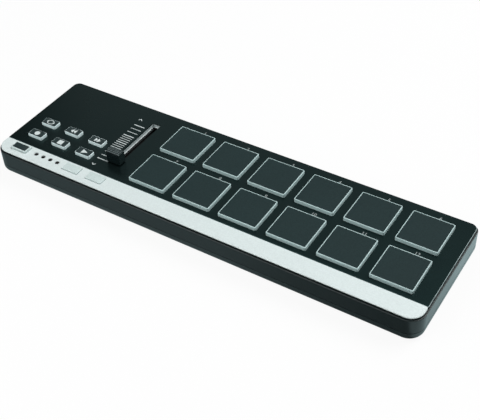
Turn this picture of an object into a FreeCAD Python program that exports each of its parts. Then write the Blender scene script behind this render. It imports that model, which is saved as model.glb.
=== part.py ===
"""Slim desk controller for music software: twelve square pads, six transport
buttons, a slide fader, three strip keys and four indicator lamps in a flat case.

Millimetres. The origin lies under the middle of the case, on the plane that the
feet stand on. +X runs along the case to the right, +Y to the back, +Z up.
"""
import FreeCAD, Part
import os

V = FreeCAD.Vector

# Pads, in a grid of columns and rows
PAD_SIZE = 29.3
PAD_GAP = 7.45
PAD_ROW_GAP = 7.6
PAD_COLUMNS = 6
PAD_ROWS = 2
PAD_PROUD = 2.4
PAD_CORNER = 1.0
PAD_EDGE = 0.3
PAD_BORDER = 1.0
PAD_SKIN = 0.5
PAD_SKIN_CORNER = 0.3
PAD_FLANGE = 1.2
PAD_FLANGE_THICKNESS = 1.4
PAD_PLUNGER = 19.0
PAD_PLUNGER_CORNER = 3.0
PAD_TRAVEL = 1.0
PAD_STOP_GAP = 0.1
PAD_FIT = 0.25

# Margins round the pads and widths of the zones beside them
CONTROLS_WIDTH = 107.35
PADS_RIGHT_MARGIN = 12.2
PADS_BACK_MARGIN = 9.12
PADS_FRONT_MARGIN = 4.45
STRIP_WIDTH = 13.95

# Top plates and the shadow gap round them
PLATE_THICKNESS = 0.8
PLATE_EDGE = 0.25
PLATE_FRONT_RADIUS = 9.5
PLATE_BACK_RADIUS = 4.75
STRIP_BACK_RADIUS = 1.5
PANEL_FRONT_RADIUS = 0.5
PLATE_JOINT = 0.1
RIM = 1.15
SHADOW_GAP = 1.0
SEAT_INSET = 0.9

# Case halves
WALL = 2.5
FLOOR = 1.8
DECK = 1.7
LOWER_CASE_HEIGHT = 6.8
LOWER_EDGE_RADIUS = 4.0
UPPER_EDGE_RADIUS = 0.4
SEAM_GAP = 0.4
SEAM_DEPTH = 0.6
LIP_FIT = 0.15
LIP = 1.2
LIP_HEIGHT = 1.8
LIP_ROOT = 2.5
RIB = 1.2
DECK_RIB_DEPTH = 2.4
FLOOR_RIB_HEIGHT = 2.5

# Feet
FOOT_RADIUS = 6.0
FOOT_PROUD = 1.2
FOOT_RECESS = 0.8
FOOT_FIT = 0.1
FOOT_EDGE = 0.3
FOOT_FROM_SIDE = 22.0
FOOT_FROM_FRONT = 14.0

# Main board and the screws that clamp it between the case halves
BOARD_STANDOFF = 8.0
BOARD_THICKNESS = 1.6
BOARD_EDGE_GAP = 1.0
SCREW_RADIUS = 1.3
SCREW_FIT = 0.2
SCREW_PILOT_FIT = 0.05
SCREW_HEAD_RADIUS = 2.6
SCREW_HEAD_HEIGHT = 1.6
SCREW_HEAD_FIT = 0.3
SCREW_SINK = 1.2
SCREW_BITE = 4.0
SCREW_DRIVE_RADIUS = 0.9
SCREW_DRIVE_DEPTH = 0.9
BOSS_WALL = 1.45
POST_WALL = 1.3
SCREW_FROM_SIDE = 8.5
SCREW_FROM_BACK = 6.3
SCREW_FROM_PADS = 7.2
SCREW_FROM_KEY = 14.35
LEFT_SCREW_FROM_STRIP = 8.3

# Pressure sensor sheet under the pads
SENSOR_SHEET = 0.3
SENSOR_DISC = 0.2
SENSOR_DISC_RADIUS = 8.5
SENSOR_MARGIN = 0.8
SENSOR_TAIL = 9.0
SENSOR_TAIL_LENGTH = 5.0

# Transport buttons, in three columns and two rows
BUTTON_WIDTH = 12.6
BUTTON_DEPTH = 6.9
BUTTON_PROUD = 2.3
BUTTON_CORNER = 0.8
BUTTON_COLUMN_PITCH = 22.15
BUTTON_ROW_PITCH = 15.1
BUTTON_FROM_LEFT = 18.25
BUTTON_FROM_STRIP = 11.62
BUTTON_FACE_BORDER = 0.4
BUTTON_FIT = 0.15

# Keys and lamps in the silver strip, all on one line
STRIP_LINE_FROM_FRONT = 8.4
KEY_WIDTH = 13.7
KEY_DEPTH = 7.1
KEY_PROUD = 0.7
SCENE_KEY_PROUD = 1.5
KEY_CORNER = 0.8
KEY_FIT = 0.3
SCENE_FACE_BORDER = 0.8
SCENE_KEY_FROM_LEFT = 17.4
LEFT_KEY_FROM_LEFT = 65.05
KEY_PITCH = 20.9
LAMP_COUNT = 4
LAMP_RADIUS = 1.5
LAMP_PITCH = 6.48
LAMP_FROM_LEFT = 31.85
LAMP_PROUD = 0.25
LAMP_FIT = 0.2
LAMP_COLLAR = 0.4
LAMP_COLLAR_THICKNESS = 1.0
LAMP_BODY_LENGTH = 5.3
LAMP_LEG = 0.5
LAMP_LEG_PITCH = 1.6

# What the buttons and keys have in common
CAP_EDGE = 0.3
FACE_THICKNESS = 0.3
FACE_CORNER_LEAST = 0.2
CAP_FLANGE = 1.0
CAP_FLANGE_THICKNESS = 1.1
CAP_STEM = 0.55
CAP_STEM_RADIUS = 1.6
CAP_TRAVEL = 0.5
CAP_STOP_GAP = 0.05
SEAT_GAP = 0.05

# Push switches under the buttons and keys
SWITCH_SIZE = 6.0
SWITCH_HEIGHT = 3.0
SWITCH_CORNER = 0.5
SWITCH_PLUNGER = 0.7
SWITCH_PLUNGER_RADIUS = 1.7

# Slide fader: travel, lever, frame and the light liner of its slot
FADER_FROM_PADS = 19.75
FADER_TRAVEL = 45.0
FADER_REST_FROM_STRIP = 16.52
LEVER_WIDTH = 1.2
LEVER_DEPTH = 4.0
LEVER_FRONT_GAP = 0.25
LEVER_BACK_GAP = 2.0
LINER_OPENING = 6.9
LINER_WALL = 0.4
LINER_FLANGE = 1.5
LINER_FLANGE_THICKNESS = 0.6
LINER_FIT = 0.08
LINER_CORNER = 0.4
LINER_FRAME_GAP = 0.1
FRAME_WIDTH = 10.0
FRAME_WALL = 0.7
FRAME_END = 5.0
FRAME_DECK_GAP = 1.4
FRAME_SLOT_FIT = 1.25
TRACK = 1.0
TRACK_FIT = 0.1
CARRIAGE_DEPTH = 8.0
CARRIAGE_FIT = 0.15
CAP_WIDTH = 11.4
CAP_DEPTH = 6.8
CAP_GAP = 0.8
CAP_FRONT_HEIGHT = 9.3
CAP_CROWN = 0.9
CAP_GROOVES = 4
CAP_GROOVE_DEPTH = 0.35
CAP_DRAFT = 0.25
CAP_SOCKET = 5.0
CAP_SOCKET_FIT = 0.05

# Socket for the data lead, in the back wall
SOCKET_FROM_LEFT = 52.0
SOCKET_WIDTH = 7.7
SOCKET_HEIGHT = 3.9
SOCKET_DEPTH = 9.2
SOCKET_WALL = 0.4
SOCKET_CORNER = 0.8
SOCKET_BACKING = 1.6
SOCKET_SINK = 0.7
SOCKET_FIT = 0.25
TONGUE_WIDTH = 4.2
TONGUE_HEIGHT = 1.1
TONGUE_SINK = 1.0

# Parts soldered to the board: across, deep, high, and place from its left and back edges
CHIPS = [(12.0, 12.0, 1.4, 32.0, 22.0), (8.5, 6.0, 1.6, 56.0, 20.0), (11.0, 4.6, 3.4, 32.0, 9.5)]
CAPACITOR_RADIUS = 2.6
CAPACITOR_HEIGHT = 4.6
CAPACITOR_BASE = 0.8
CAPACITOR_PITCH = 8.0
CAPACITOR_COUNT = 3
CAPACITOR_FROM_LEFT = 14.0
CAPACITOR_FROM_BACK = 12.0

# Plan of the whole, worked out from the sizes above
PAD_PITCH = PAD_SIZE + PAD_GAP
PAD_ROW_PITCH = PAD_SIZE + PAD_ROW_GAP
PADS_WIDTH = PAD_COLUMNS * PAD_PITCH - PAD_GAP
PADS_DEPTH = PAD_ROWS * PAD_ROW_PITCH - PAD_ROW_GAP
PLATE_LENGTH = CONTROLS_WIDTH + PADS_WIDTH + PADS_RIGHT_MARGIN
PLATE_DEPTH = STRIP_WIDTH + PADS_FRONT_MARGIN + PADS_DEPTH + PADS_BACK_MARGIN
PLATE_LEFT = -PLATE_LENGTH / 2
PLATE_RIGHT = PLATE_LENGTH / 2
PLATE_FRONT = -PLATE_DEPTH / 2
PLATE_BACK = PLATE_DEPTH / 2
STRIP_BACK = PLATE_FRONT + STRIP_WIDTH
PADS_LEFT = PLATE_LEFT + CONTROLS_WIDTH
PADS_FRONT = STRIP_BACK + PADS_FRONT_MARGIN
PADS_MIDDLE_X = PADS_LEFT + PADS_WIDTH / 2
CASE_LEFT = PLATE_LEFT - RIM
CASE_RIGHT = PLATE_RIGHT + RIM
CASE_FRONT = PLATE_FRONT - RIM
CASE_BACK = PLATE_BACK + RIM
FRONT_RADIUS = PLATE_FRONT_RADIUS + RIM
BACK_RADIUS = PLATE_BACK_RADIUS + RIM

# Heights, stacked from the table upwards
Z_BOTTOM = FOOT_PROUD
Z_FLOOR = Z_BOTTOM + FLOOR
Z_SEAM = Z_BOTTOM + LOWER_CASE_HEIGHT
Z_BOARD = Z_FLOOR + BOARD_STANDOFF
Z_BOARD_TOP = Z_BOARD + BOARD_THICKNESS
Z_SWITCH_TOP = Z_BOARD_TOP + SWITCH_HEIGHT + SWITCH_PLUNGER
Z_STEM = Z_SWITCH_TOP + CAP_TRAVEL + CAP_STOP_GAP
Z_DECK = Z_STEM + CAP_STEM + CAP_FLANGE_THICKNESS + SEAT_GAP
Z_DECK_TOP = Z_DECK + DECK
Z_LEDGE = Z_DECK_TOP - SHADOW_GAP
Z_TOP = Z_DECK_TOP + PLATE_THICKNESS
Z_SENSOR = Z_BOARD_TOP + SENSOR_SHEET + SENSOR_DISC
Z_FRAME = Z_DECK - FRAME_DECK_GAP

# Fader positions
FADER_X = PADS_LEFT - FADER_FROM_PADS
FADER_Y = STRIP_BACK + FADER_REST_FROM_STRIP
SLOT_FRONT = FADER_Y - LEVER_DEPTH / 2 - LEVER_FRONT_GAP
SLOT_BACK = FADER_Y + FADER_TRAVEL + LEVER_DEPTH / 2 + LEVER_BACK_GAP


def arc(start, middle, end):
    return Part.Arc(start, middle, end).toShape()


def outline(x0, y0, x1, y1, radii, z):
    """Closed wire round a rectangle; radii go front left, front right, back right, back left."""
    corners = [(x0, y0, 1, 1), (x1, y0, -1, 1), (x1, y1, -1, -1), (x0, y1, 1, -1)]
    bulge = 1 - 0.5 ** 0.5
    edges = []
    first = None
    last = None
    for (x, y, sx, sy), r in zip(corners, radii):
        along_x = V(x + sx * r, y, z)
        along_y = V(x, y + sy * r, z)
        start, end = (along_y, along_x) if sx == sy else (along_x, along_y)
        if last is None:
            first = start
        else:
            edges.append(Part.makeLine(last, start))
        edges.append(arc(start, V(x + sx * r * bulge, y + sy * r * bulge, z), end))
        last = end
    edges.append(Part.makeLine(last, first))
    return Part.Wire(edges)


def slab(x0, y0, x1, y1, radii, z0, z1):
    """Upright prism on a rounded rectangle. One number stands for four equal radii."""
    if not isinstance(radii, (tuple, list)):
        radii = (radii,) * 4
    return Part.Face(outline(x0, y0, x1, y1, radii, z0)).extrude(V(0, 0, z1 - z0))


def centred_slab(x, y, width, depth, radius, z0, z1):
    return slab(x - width / 2, y - depth / 2, x + width / 2, y + depth / 2, radius, z0, z1)


def box(x0, y0, z0, x1, y1, z1):
    return Part.makeBox(x1 - x0, y1 - y0, z1 - z0, V(x0, y0, z0))


def rod(x, y, radius, z0, z1):
    return Part.makeCylinder(radius, z1 - z0, V(x, y, z0))


def level_edges(shape, z):
    """The edges of a shape that lie flat at one height."""
    return [e for e in shape.Edges if abs(e.BoundBox.ZMin - z) < 1e-4 and abs(e.BoundBox.ZMax - z) < 1e-4]


def case_slab(inset, z0, z1):
    """Prism on the outline of the case, drawn in by an inset."""
    front = FRONT_RADIUS - inset
    back = BACK_RADIUS - inset
    radii = (front, front, back, back)
    return slab(CASE_LEFT + inset, CASE_FRONT + inset, CASE_RIGHT - inset, CASE_BACK - inset, radii, z0, z1)


def pad_places():
    """Pad numbers and centres, from the back left pad along each row."""
    places = []
    for number in range(PAD_COLUMNS * PAD_ROWS):
        row, column = divmod(number, PAD_COLUMNS)
        x = PADS_LEFT + PAD_SIZE / 2 + column * PAD_PITCH
        y = PADS_FRONT + PAD_SIZE / 2 + (PAD_ROWS - 1 - row) * PAD_ROW_PITCH
        places.append((number + 1, x, y))
    return places


def button_places():
    """Names and centres of the transport buttons, back row first."""
    rows = [("loop", "rewind", "forward"), ("record", "stop", "play")]
    places = []
    for row, names in enumerate(rows):
        y = STRIP_BACK + BUTTON_FROM_STRIP + (len(rows) - 1 - row) * BUTTON_ROW_PITCH
        for column, name in enumerate(names):
            places.append((name, PLATE_LEFT + BUTTON_FROM_LEFT + column * BUTTON_COLUMN_PITCH, y))
    return places


def key_places():
    """Names, centres and heights of the keys in the silver strip."""
    y = PLATE_FRONT + STRIP_LINE_FROM_FRONT
    left = PLATE_LEFT + LEFT_KEY_FROM_LEFT
    return [("scene", PLATE_LEFT + SCENE_KEY_FROM_LEFT, y, SCENE_KEY_PROUD),
            ("left", left, y, KEY_PROUD),
            ("right", left + KEY_PITCH, y, KEY_PROUD)]


def lamp_places():
    y = PLATE_FRONT + STRIP_LINE_FROM_FRONT
    return [(PLATE_LEFT + LAMP_FROM_LEFT + i * LAMP_PITCH, y) for i in range(LAMP_COUNT)]


def screw_places():
    left = CASE_LEFT + SCREW_FROM_SIDE
    right = CASE_RIGHT - SCREW_FROM_SIDE
    back = CASE_BACK - SCREW_FROM_BACK
    front = CASE_FRONT + SCREW_FROM_BACK
    beside_pads = PADS_LEFT - SCREW_FROM_PADS
    beside_key = PLATE_LEFT + LEFT_KEY_FROM_LEFT + KEY_PITCH + SCREW_FROM_KEY
    places = [(x, back) for x in (left, beside_pads, PADS_MIDDLE_X, right)]
    places += [(x, front) for x in (beside_key, PADS_MIDDLE_X, right)]
    places.append((left, STRIP_BACK + LEFT_SCREW_FROM_STRIP))
    return places


def foot_places():
    xs = (CASE_LEFT + FOOT_FROM_SIDE, CASE_RIGHT - FOOT_FROM_SIDE)
    ys = (CASE_FRONT + FOOT_FROM_FRONT, CASE_BACK - FOOT_FROM_FRONT)
    return [(x, y) for x in xs for y in ys]


def pad_windows(z0, z1):
    size = PAD_SIZE + 2 * PAD_FIT
    return [centred_slab(x, y, size, size, PAD_CORNER + PAD_FIT, z0, z1) for _, x, y in pad_places()]


def cap_window(x, y, width, depth, corner, fit, z0, z1):
    return centred_slab(x, y, width + 2 * fit, depth + 2 * fit, corner + fit, z0, z1)


def button_windows(z0, z1):
    size = (BUTTON_WIDTH, BUTTON_DEPTH, BUTTON_CORNER, BUTTON_FIT)
    return [cap_window(x, y, *size, z0, z1) for _, x, y in button_places()]


def key_windows(z0, z1):
    size = (KEY_WIDTH, KEY_DEPTH, KEY_CORNER, KEY_FIT)
    return [cap_window(x, y, *size, z0, z1) for _, x, y, _ in key_places()]


def lamp_holes(z0, z1):
    return [rod(x, y, LAMP_RADIUS + LAMP_FIT, z0, z1) for x, y in lamp_places()]


def liner_slab(grow, z0, z1):
    """Prism on the fader slot's opening, grown on all sides."""
    x0 = FADER_X - LINER_OPENING / 2 - grow
    x1 = FADER_X + LINER_OPENING / 2 + grow
    return slab(x0, SLOT_FRONT - grow, x1, SLOT_BACK + grow, LINER_CORNER + grow, z0, z1)


def make_top_panel():
    radii = (PANEL_FRONT_RADIUS, PANEL_FRONT_RADIUS, PLATE_BACK_RADIUS, PLATE_BACK_RADIUS)
    plate = slab(PLATE_LEFT, STRIP_BACK + PLATE_JOINT, PLATE_RIGHT, PLATE_BACK, radii, Z_DECK_TOP, Z_TOP)
    plate = plate.makeChamfer(PLATE_EDGE, level_edges(plate, Z_TOP))
    cuts = pad_windows(Z_DECK_TOP, Z_TOP) + button_windows(Z_DECK_TOP, Z_TOP)
    cuts.append(liner_slab(0, Z_DECK_TOP, Z_TOP))
    return plate.cut(cuts)


def make_silver_strip():
    radii = (PLATE_FRONT_RADIUS, PLATE_FRONT_RADIUS, STRIP_BACK_RADIUS, STRIP_BACK_RADIUS)
    plate = slab(PLATE_LEFT, PLATE_FRONT, PLATE_RIGHT, STRIP_BACK, radii, Z_DECK_TOP, Z_TOP)
    plate = plate.makeChamfer(PLATE_EDGE, level_edges(plate, Z_TOP))
    return plate.cut(key_windows(Z_DECK_TOP, Z_TOP) + lamp_holes(Z_DECK_TOP, Z_TOP))


def deck_ribs():
    """Ribs under the deck: one between each pair of pad columns and one between the rows."""
    z0 = Z_DECK - DECK_RIB_DEPTH
    y0 = PADS_FRONT
    y1 = PADS_FRONT + PADS_DEPTH
    ribs = []
    for column in range(PAD_COLUMNS + 1):
        x = PADS_LEFT + column * PAD_PITCH - PAD_GAP / 2
        ribs.append(box(x - RIB / 2, y0, z0, x + RIB / 2, y1, Z_DECK))
    for row in range(1, PAD_ROWS):
        y = PADS_FRONT + row * PAD_ROW_PITCH - PAD_ROW_GAP / 2
        x0 = PADS_LEFT - PAD_GAP / 2
        ribs.append(box(x0, y - RIB / 2, z0, x0 + PAD_COLUMNS * PAD_PITCH, y + RIB / 2, Z_DECK))
    return ribs


def make_upper_case():
    shell = case_slab(0, Z_SEAM, Z_LEDGE)
    shell = shell.makeFillet(UPPER_EDGE_RADIUS, level_edges(shell, Z_LEDGE))
    shell = shell.fuse(case_slab(RIM + SEAT_INSET, Z_LEDGE, Z_DECK_TOP))
    shell = shell.cut(case_slab(WALL, Z_SEAM, Z_DECK))
    bosses = [rod(x, y, SCREW_RADIUS + BOSS_WALL, Z_BOARD_TOP, Z_DECK) for x, y in screw_places()]
    shell = shell.fuse(bosses + deck_ribs())
    cuts = pad_windows(Z_DECK, Z_DECK_TOP) + button_windows(Z_DECK, Z_DECK_TOP)
    cuts += key_windows(Z_DECK, Z_DECK_TOP) + lamp_holes(Z_DECK, Z_DECK_TOP)
    cuts.append(liner_slab(LINER_WALL + LINER_FIT, Z_DECK, Z_DECK_TOP))
    z_rebate = Z_DECK_TOP - LINER_FLANGE_THICKNESS
    cuts.append(liner_slab(LINER_WALL + LINER_FLANGE + LINER_FIT, z_rebate, Z_DECK_TOP))
    pilot = SCREW_RADIUS + SCREW_PILOT_FIT
    cuts += [rod(x, y, pilot, Z_BOARD_TOP, Z_BOARD_TOP + SCREW_BITE) for x, y in screw_places()]
    x = PLATE_LEFT + SOCKET_FROM_LEFT
    half = SOCKET_WIDTH / 2 + SOCKET_FIT
    z0 = Z_BOARD_TOP - SOCKET_FIT
    z1 = Z_BOARD_TOP + SOCKET_HEIGHT + SOCKET_FIT
    cuts.append(box(x - half, CASE_BACK - WALL, z0, x + half, CASE_BACK, z1))
    return shell.cut(cuts).removeSplitter()


def floor_ribs():
    """Low ribs across the floor, midway between the screw posts."""
    y0 = CASE_FRONT + WALL
    y1 = CASE_BACK - WALL
    back_row = sorted(x for x, y in screw_places() if y > 0)
    middles = [(a + b) / 2 for a, b in zip(back_row, back_row[1:])]
    return [box(x - RIB / 2, y0, Z_FLOOR, x + RIB / 2, y1, Z_FLOOR + FLOOR_RIB_HEIGHT) for x in middles]


def make_lower_case():
    shell = case_slab(0, Z_BOTTOM, Z_SEAM)
    shell = shell.makeFillet(LOWER_EDGE_RADIUS, level_edges(shell, Z_BOTTOM))
    shell = shell.cut(case_slab(WALL, Z_FLOOR, Z_SEAM))
    lip_outside = WALL + LIP_FIT
    lip_inside = lip_outside + LIP
    root = case_slab(WALL - LIP_FIT, Z_SEAM - LIP_ROOT, Z_SEAM)
    lip = case_slab(lip_outside, Z_SEAM, Z_SEAM + LIP_HEIGHT)
    hollow = case_slab(lip_inside, Z_SEAM - LIP_ROOT, Z_SEAM + LIP_HEIGHT)
    shell = shell.fuse([root.cut(hollow), lip.cut(hollow)])
    post = SCREW_HEAD_RADIUS + SCREW_HEAD_FIT + POST_WALL
    posts = [rod(x, y, post, Z_FLOOR, Z_BOARD) for x, y in screw_places()]
    inside = case_slab(WALL / 2, Z_FLOOR, Z_SEAM)
    inside = inside.fuse(case_slab(lip_outside, Z_SEAM, Z_BOARD))
    shell = shell.fuse([p.common(inside) for p in posts] + floor_ribs())
    groove = case_slab(0, Z_SEAM - SEAM_GAP, Z_SEAM).cut(case_slab(SEAM_DEPTH, Z_SEAM - SEAM_GAP, Z_SEAM))
    cuts = [groove]
    z_head = Z_BOTTOM + SCREW_SINK + SCREW_HEAD_HEIGHT
    for x, y in screw_places():
        cuts.append(rod(x, y, SCREW_HEAD_RADIUS + SCREW_HEAD_FIT, Z_BOTTOM, z_head))
        cuts.append(rod(x, y, SCREW_RADIUS + SCREW_FIT, z_head, Z_BOARD))
    for x, y in foot_places():
        cuts.append(rod(x, y, FOOT_RADIUS + FOOT_FIT, Z_BOTTOM, Z_BOTTOM + FOOT_RECESS))
    return shell.cut(cuts).removeSplitter()


def make_feet():
    feet = []
    for x, y in foot_places():
        foot = rod(x, y, FOOT_RADIUS, 0, Z_BOTTOM + FOOT_RECESS)
        feet.append(foot.makeChamfer(FOOT_EDGE, level_edges(foot, 0)))
    return Part.makeCompound(feet)


def make_case_screws():
    screws = []
    z_face = Z_BOTTOM + SCREW_SINK
    z_seat = z_face + SCREW_HEAD_HEIGHT
    for x, y in screw_places():
        head = rod(x, y, SCREW_HEAD_RADIUS, z_face, z_seat)
        shank = rod(x, y, SCREW_RADIUS, z_seat, Z_BOARD_TOP + SCREW_BITE)
        drive = rod(x, y, SCREW_DRIVE_RADIUS, z_face, z_face + SCREW_DRIVE_DEPTH)
        screws.append(head.fuse(shank).cut(drive))
    return Part.makeCompound(screws)


def make_main_board():
    inset = WALL + BOARD_EDGE_GAP
    board = case_slab(inset, Z_BOARD, Z_BOARD_TOP)
    return board.cut([rod(x, y, SCREW_RADIUS + SCREW_FIT, Z_BOARD, Z_BOARD_TOP) for x, y in screw_places()])


def make_sensor_sheet():
    """One thin sheet with a raised round cell under each pad and a tail to the board's connector."""
    m = SENSOR_MARGIN
    z1 = Z_BOARD_TOP + SENSOR_SHEET
    sheet = slab(PADS_LEFT - m, PADS_FRONT - m, PADS_LEFT + PADS_WIDTH + m, PADS_FRONT + PADS_DEPTH + m, m,
                 Z_BOARD_TOP, z1)
    y = PADS_FRONT + PADS_DEPTH / 2
    tail = box(PADS_LEFT - m - SENSOR_TAIL_LENGTH, y - SENSOR_TAIL / 2, Z_BOARD_TOP,
               PADS_LEFT, y + SENSOR_TAIL / 2, z1)
    cells = [rod(x, y, SENSOR_DISC_RADIUS, z1, z1 + SENSOR_DISC) for _, x, y in pad_places()]
    return sheet.fuse([tail] + cells).removeSplitter()


def make_pad(x, y):
    """Silicone pad: flange under the deck, body through the windows, plunger over its sensor cell."""
    z_flange = Z_DECK - SEAT_GAP - PAD_FLANGE_THICKNESS
    z_top = Z_TOP + PAD_PROUD
    body = centred_slab(x, y, PAD_SIZE, PAD_SIZE, PAD_CORNER, z_flange, z_top)
    body = body.makeChamfer(PAD_EDGE, level_edges(body, z_top))
    width = PAD_SIZE + 2 * PAD_FLANGE
    flange = centred_slab(x, y, width, width, PAD_CORNER + PAD_FLANGE, z_flange, Z_DECK - SEAT_GAP)
    z_plunger = Z_SENSOR + PAD_TRAVEL + PAD_STOP_GAP
    plunger = centred_slab(x, y, PAD_PLUNGER, PAD_PLUNGER, PAD_PLUNGER_CORNER, z_plunger, z_flange)
    return body.fuse([flange, plunger]).cut(make_pad_top(x, y)).removeSplitter()


def make_pad_top(x, y):
    """Charcoal skin bonded into the pad's top, with the lighter border left round it."""
    size = PAD_SIZE - 2 * PAD_BORDER
    z_top = Z_TOP + PAD_PROUD
    return centred_slab(x, y, size, size, PAD_SKIN_CORNER, z_top - PAD_SKIN, z_top)


def make_cap(x, y, width, depth, corner, proud):
    """Button or key: flange under the deck, body through the windows, stem over its switch."""
    z_flange = Z_STEM + CAP_STEM
    z_top = Z_TOP + proud
    body = centred_slab(x, y, width, depth, corner, z_flange, z_top)
    body = body.makeChamfer(CAP_EDGE, level_edges(body, z_top))
    flange = centred_slab(x, y, width + 2 * CAP_FLANGE, depth + 2 * CAP_FLANGE, corner + CAP_FLANGE,
                          z_flange, Z_DECK - SEAT_GAP)
    return body.fuse([flange, rod(x, y, CAP_STEM_RADIUS, Z_STEM, z_flange)]).removeSplitter()


def make_face(x, y, width, depth, corner, proud, border):
    """Dark face plate let into the top of a cap, with a border of the cap left round it."""
    z_top = Z_TOP + proud
    radius = max(corner - border, FACE_CORNER_LEAST)
    return centred_slab(x, y, width - 2 * border, depth - 2 * border, radius, z_top - FACE_THICKNESS, z_top)


def switch_places():
    return [(x, y) for _, x, y in button_places()] + [(x, y) for _, x, y, _ in key_places()]


def make_switches():
    z1 = Z_BOARD_TOP + SWITCH_HEIGHT
    return Part.makeCompound([centred_slab(x, y, SWITCH_SIZE, SWITCH_SIZE, SWITCH_CORNER, Z_BOARD_TOP, z1)
                              for x, y in switch_places()])


def make_switch_plungers():
    z0 = Z_BOARD_TOP + SWITCH_HEIGHT
    return Part.makeCompound([rod(x, y, SWITCH_PLUNGER_RADIUS, z0, Z_SWITCH_TOP)
                              for x, y in switch_places()])


def make_lamps():
    lamps = []
    z_top = Z_TOP + LAMP_PROUD
    z_body = z_top - LAMP_BODY_LENGTH
    for x, y in lamp_places():
        lens = rod(x, y, LAMP_RADIUS, z_body, z_top)
        lens = lens.makeChamfer(LAMP_PROUD, level_edges(lens, z_top))
        collar = rod(x, y, LAMP_RADIUS + LAMP_COLLAR, z_body, z_body + LAMP_COLLAR_THICKNESS)
        legs = [box(x + s * LAMP_LEG_PITCH / 2 - LAMP_LEG / 2, y - LAMP_LEG / 2, Z_BOARD_TOP,
                    x + s * LAMP_LEG_PITCH / 2 + LAMP_LEG / 2, y + LAMP_LEG / 2, z_body) for s in (-1, 1)]
        lamps.append(lens.fuse([collar] + legs).removeSplitter())
    return Part.makeCompound(lamps)


def make_fader_liner():
    """Light channel below the fader slot: a flange clamped under the panel and walls down to the frame."""
    z0 = Z_FRAME + LINER_FRAME_GAP
    ring = liner_slab(LINER_WALL, z0, Z_DECK_TOP)
    ring = ring.fuse(liner_slab(LINER_WALL + LINER_FLANGE, Z_DECK_TOP - LINER_FLANGE_THICKNESS, Z_DECK_TOP))
    return ring.cut(liner_slab(0, z0, Z_DECK_TOP)).removeSplitter()


def frame_span():
    return SLOT_FRONT - FRAME_END, SLOT_BACK + FRAME_END


def make_fader_frame():
    """Folded channel, open below over its track, with a slot along the top for the lever."""
    y0, y1 = frame_span()
    half = FRAME_WIDTH / 2
    frame = box(FADER_X - half, y0, Z_BOARD_TOP, FADER_X + half, y1, Z_FRAME)
    w = FRAME_WALL
    hollow = box(FADER_X - half + w, y0 + w, Z_BOARD_TOP, FADER_X + half - w, y1 - w, Z_FRAME - w)
    slot_half = LEVER_WIDTH / 2 + FRAME_SLOT_FIT
    slot = box(FADER_X - slot_half, SLOT_FRONT, Z_FRAME - w, FADER_X + slot_half, SLOT_BACK, Z_FRAME)
    return frame.cut([hollow, slot])


def make_fader_track():
    y0, y1 = frame_span()
    inset = FRAME_WALL + TRACK_FIT
    half = FRAME_WIDTH / 2 - inset
    return box(FADER_X - half, y0 + inset, Z_BOARD_TOP, FADER_X + half, y1 - inset, Z_BOARD_TOP + TRACK)


def make_fader_carriage():
    """Slider in the frame with the flat lever that carries the cap."""
    z0 = Z_BOARD_TOP + TRACK + CARRIAGE_FIT
    z1 = Z_FRAME - FRAME_WALL - CARRIAGE_FIT
    half = FRAME_WIDTH / 2 - FRAME_WALL - CARRIAGE_FIT
    depth = CARRIAGE_DEPTH / 2
    block = box(FADER_X - half, FADER_Y - depth, z0, FADER_X + half, FADER_Y + depth, z1)
    z_tip = Z_TOP + CAP_GAP + CAP_SOCKET
    lever = box(FADER_X - LEVER_WIDTH / 2, FADER_Y - LEVER_DEPTH / 2, z1,
                FADER_X + LEVER_WIDTH / 2, FADER_Y + LEVER_DEPTH / 2, z_tip)
    return block.fuse(lever).removeSplitter()


def make_fader_cap():
    """Tall narrow cap with drafted sides and a crowned top that has grooves across it."""
    z0 = Z_TOP + CAP_GAP
    z_edge = Z_TOP + CAP_FRONT_HEIGHT
    half_x = CAP_WIDTH / 2
    half_y = CAP_DEPTH / 2
    d = CAP_DRAFT
    foot_front = V(0, -half_y, z0)
    foot_back = V(0, half_y, z0)
    edge_front = V(0, d - half_y, z_edge)
    edge_back = V(0, half_y - d, z_edge)
    side = Part.Wire([Part.makeLine(foot_front, foot_back), Part.makeLine(foot_back, edge_back),
                      arc(edge_back, V(0, 0, z_edge + CAP_CROWN), edge_front),
                      Part.makeLine(edge_front, foot_front)])
    side.translate(V(FADER_X - half_x, FADER_Y, 0))
    cap = Part.Face(side).extrude(V(CAP_WIDTH, 0, 0))
    pitch = (CAP_DEPTH - 2 * d) / (CAP_GROOVES + 1)
    top = z_edge + CAP_CROWN
    cuts = []
    for i in range(CAP_GROOVES):
        y = FADER_Y - half_y + d + (i + 1) * pitch
        rise = CAP_CROWN * (1 - ((y - FADER_Y) / (half_y - d)) ** 2)
        z_groove = z_edge + rise - CAP_GROOVE_DEPTH
        cuts.append(box(FADER_X - half_x, y - pitch / 4, z_groove, FADER_X + half_x, y + pitch / 4, top))
    f = CAP_SOCKET_FIT
    cuts.append(box(FADER_X - LEVER_WIDTH / 2 - f, FADER_Y - LEVER_DEPTH / 2 - f, z0,
                    FADER_X + LEVER_WIDTH / 2 + f, FADER_Y + LEVER_DEPTH / 2 + f, z0 + CAP_SOCKET + f))
    return cap.cut(cuts)


def socket_box():
    x = PLATE_LEFT + SOCKET_FROM_LEFT
    y1 = CASE_BACK - SOCKET_SINK
    return x - SOCKET_WIDTH / 2, y1 - SOCKET_DEPTH, x + SOCKET_WIDTH / 2, y1


def turned_slab(x0, x1, z0, z1, radius, y0, y1):
    """Prism along Y on a rounded rectangle that stands in the plane of the back wall."""
    block = slab(x0, -z1, x1, -z0, radius, y0, y1)
    block.rotate(V(0, 0, 0), V(1, 0, 0), -90)
    return block


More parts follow.
